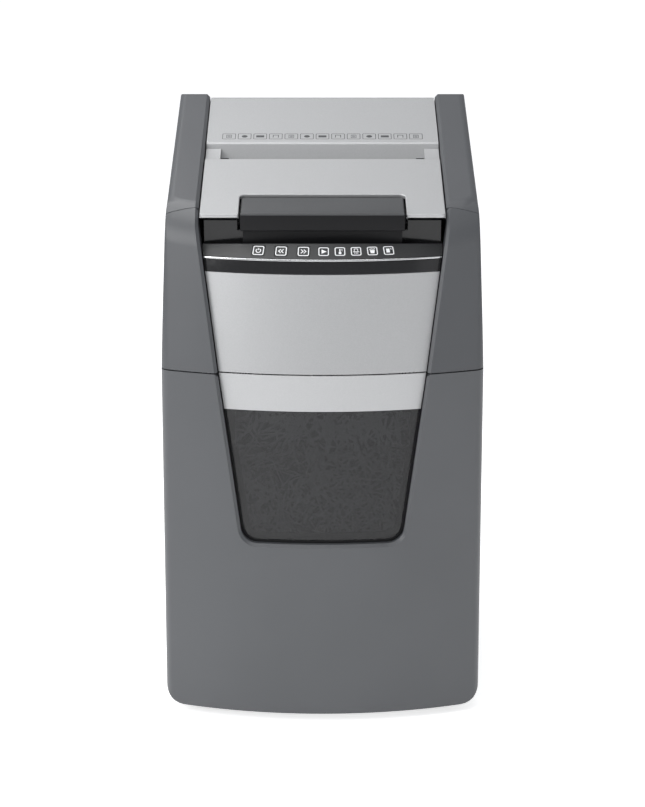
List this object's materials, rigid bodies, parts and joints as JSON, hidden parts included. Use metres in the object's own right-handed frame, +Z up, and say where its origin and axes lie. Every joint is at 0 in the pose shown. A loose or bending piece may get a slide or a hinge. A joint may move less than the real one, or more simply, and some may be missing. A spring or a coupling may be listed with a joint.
{
  "type": "paper shredder",
  "caption": "Deskside paper shredder with a bowed front, a hinged auto-feed lid with a manual slot, and a pull-out bin with a smoked window.",
  "frame": {"origin": "middle of the footprint, on the floor", "axes": "+X to the right seen from the front, +Y to the back, +Z up; the bin slides out along -Y"},
  "size_m": [0.35, 0.4, 0.6471],
  "materials": {
    "graphite_plastic": "fine satin texture",
    "silver_plastic": "satin metallic paint",
    "gloss_black": "high gloss",
    "chrome_trim": "bright",
    "panel_plastic": "satin",
    "handle_plastic": "satin",
    "indicator_lens": "satin, with pale symbols",
    "smoked_window": "smoked and clear",
    "black_plastic": "fine texture",
    "bin_plastic": "fine texture",
    "foot_rubber": "matt",
    "zinc_steel": "zinc plated",
    "cutter_steel": "ground and oiled",
    "bearing_bronze": "machined",
    "motor_steel": "satin",
    "gear_plastic": "moulded",
    "roller_rubber": "ribbed",
    "circuit_board": "solder mask"
  },
  "bodies": {
    "cabinet": {"base_pan": "graphite_plastic", "side_panel_left": "graphite_plastic", "side_panel_right": "graphite_plastic", "back_panel": "graphite_plastic", "rubber_feet": "foot_rubber", "head_floor": "bin_plastic", "head_side_left": "graphite_plastic", "head_side_right": "graphite_plastic", "rail_left": "graphite_plastic", "rail_right": "graphite_plastic", "rear_cover": "graphite_plastic", "front_panel": "silver_plastic", "accent_band": "gloss_black", "chrome_strip": "chrome_trim", "control_panel": "panel_plastic", "indicator_lenses": "indicator_lens", "recess_trim": "gloss_black", "control_board": "circuit_board", "paper_tray": "black_plastic", "cutter_frame_left": "zinc_steel", "cutter_frame_right": "zinc_steel", "tie_bars": "zinc_steel", "shaft_bearings": "bearing_bronze", "stripper_combs": "bin_plastic", "motor_can": "motor_steel", "motor_bracket": "zinc_steel", "gear_pins": "zinc_steel", "gear_cover": "black_plastic", "power_board": "circuit_board", "motor_capacitor": "zinc_steel", "paper_sensor": "black_plastic", "bin_switch": "black_plastic", "cord_gland": "black_plastic", "switch_housing": "black_plastic", "screws": "zinc_steel"},
    "bin": {"bin_tub": "bin_plastic", "bin_fascia": "graphite_plastic", "bin_trim": "silver_plastic", "bin_window": "smoked_window", "window_frame": "black_plastic"},
    "lid": {"lid_upper": "silver_plastic", "lid_flap": "silver_plastic", "lid_liner": "black_plastic", "hinge_pins": "zinc_steel"},
    "handle": {"lid_handle": "handle_plastic"},
    "pressure_plate": {"pressure_plate": "black_plastic", "plate_springs": "zinc_steel"},
    "power_key": {"power_key": "panel_plastic"},
    "reverse_key": {"reverse_key": "panel_plastic"},
    "forward_key": {"forward_key": "panel_plastic"},
    "drive_cutter": {"drive_cutter": "cutter_steel"},
    "driven_cutter": {"driven_cutter": "cutter_steel"},
    "reduction_gear": {"reduction_gear": "gear_plastic"},
    "motor_rotor": {"motor_rotor": "motor_steel", "motor_fan": "gear_plastic"},
    "front_idler": {"front_idler": "gear_plastic"},
    "rear_idler": {"rear_idler": "gear_plastic"},
    "front_roller": {"front_roller": "roller_rubber"},
    "rear_roller": {"rear_roller": "roller_rubber"},
    "power_rocker": {"power_rocker": "black_plastic"}
  },
  "joints": [
    {"name": "bin_slide", "type": "slide", "parent": "cabinet", "child": "bin", "axis": [0, -1, 0], "range_m": [0, 0.3]},
    {"name": "lid_hinge", "type": "hinge", "parent": "cabinet", "child": "lid", "pos_m": [0, 0.176, 0.61915], "axis": [-1, 0, 0], "range_deg": [0, 72]},
    {"name": "handle_pivot", "type": "hinge", "parent": "lid", "child": "handle", "pos_m": [0, -0.096, 0.56], "axis": [-1, 0, 0], "range_deg": [0, 8], "stiffness_Nm_per_rad": 0.6, "springref_deg": -5.73},
    {"name": "plate_pivot", "type": "hinge", "parent": "lid", "child": "pressure_plate", "pos_m": [0, 0.14, 0.60935], "axis": [-1, 0, 0], "range_deg": [0, 2.4], "stiffness_Nm_per_rad": 1.5, "springref_deg": -5.73},
    {"name": "power_press", "type": "slide", "parent": "cabinet", "child": "power_key", "axis": [0.1131, 0.6595, -0.7431], "range_m": [0, 0.0008], "stiffness_N_per_m": 400, "springref_m": -0.001},
    {"name": "reverse_press", "type": "slide", "parent": "cabinet", "child": "reverse_key", "axis": [0.073, 0.6651, -0.7431], "range_m": [0, 0.0008], "stiffness_N_per_m": 400, "springref_m": -0.001},
    {"name": "forward_press", "type": "slide", "parent": "cabinet", "child": "forward_key", "axis": [0.0335, 0.6683, -0.7431], "range_m": [0, 0.0008], "stiffness_N_per_m": 400, "springref_m": -0.001},
    {"name": "cutter_spin", "type": "hinge", "parent": "cabinet", "child": "drive_cutter", "pos_m": [0, 0.043, 0.497], "axis": [1, 0, 0], "continuous": true},
    {"name": "driven_spin", "type": "hinge", "parent": "cabinet", "child": "driven_cutter", "pos_m": [0, 0.001, 0.497], "axis": [1, 0, 0], "continuous": true},
    {"name": "reduction_spin", "type": "hinge", "parent": "cabinet", "child": "reduction_gear", "pos_m": [0, 0.07517, 0.47], "axis": [1, 0, 0], "continuous": true},
    {"name": "motor_spin", "type": "hinge", "parent": "cabinet", "child": "motor_rotor", "pos_m": [0, 0.11464, 0.45564], "axis": [1, 0, 0], "continuous": true},
    {"name": "front_idler_spin", "type": "hinge", "parent": "cabinet", "child": "front_idler", "pos_m": [0, -0.0329, 0.50343], "axis": [1, 0, 0], "continuous": true},
    {"name": "rear_idler_spin", "type": "hinge", "parent": "cabinet", "child": "rear_idler", "pos_m": [0, 0.07269, 0.51458], "axis": [1, 0, 0], "continuous": true},
    {"name": "front_roller_spin", "type": "hinge", "parent": "cabinet", "child": "front_roller", "pos_m": [0, -0.058, 0.51985], "axis": [1, 0, 0], "continuous": true},
    {"name": "rear_roller_spin", "type": "hinge", "parent": "cabinet", "child": "rear_roller", "pos_m": [0, 0.088, 0.54037], "axis": [1, 0, 0], "continuous": true},
    {"name": "rocker_tilt", "type": "hinge", "parent": "cabinet", "child": "power_rocker", "pos_m": [-0.08, 0.1935, 0.43], "axis": [-1, 0, 0], "range_deg": [0, 16]}
  ],
  "couplings": [
    {"joint": "driven_spin", "follows": "cutter_spin", "ratio": -1},
    {"joint": "reduction_spin", "follows": "cutter_spin", "ratio": -3},
    {"joint": "motor_spin", "follows": "cutter_spin", "ratio": 15},
    {"joint": "front_idler_spin", "follows": "cutter_spin", "ratio": 1.5556},
    {"joint": "rear_idler_spin", "follows": "cutter_spin", "ratio": -1.5556},
    {"joint": "front_roller_spin", "follows": "cutter_spin", "ratio": -1.2727},
    {"joint": "rear_roller_spin", "follows": "cutter_spin", "ratio": 1.2727}
  ]
}
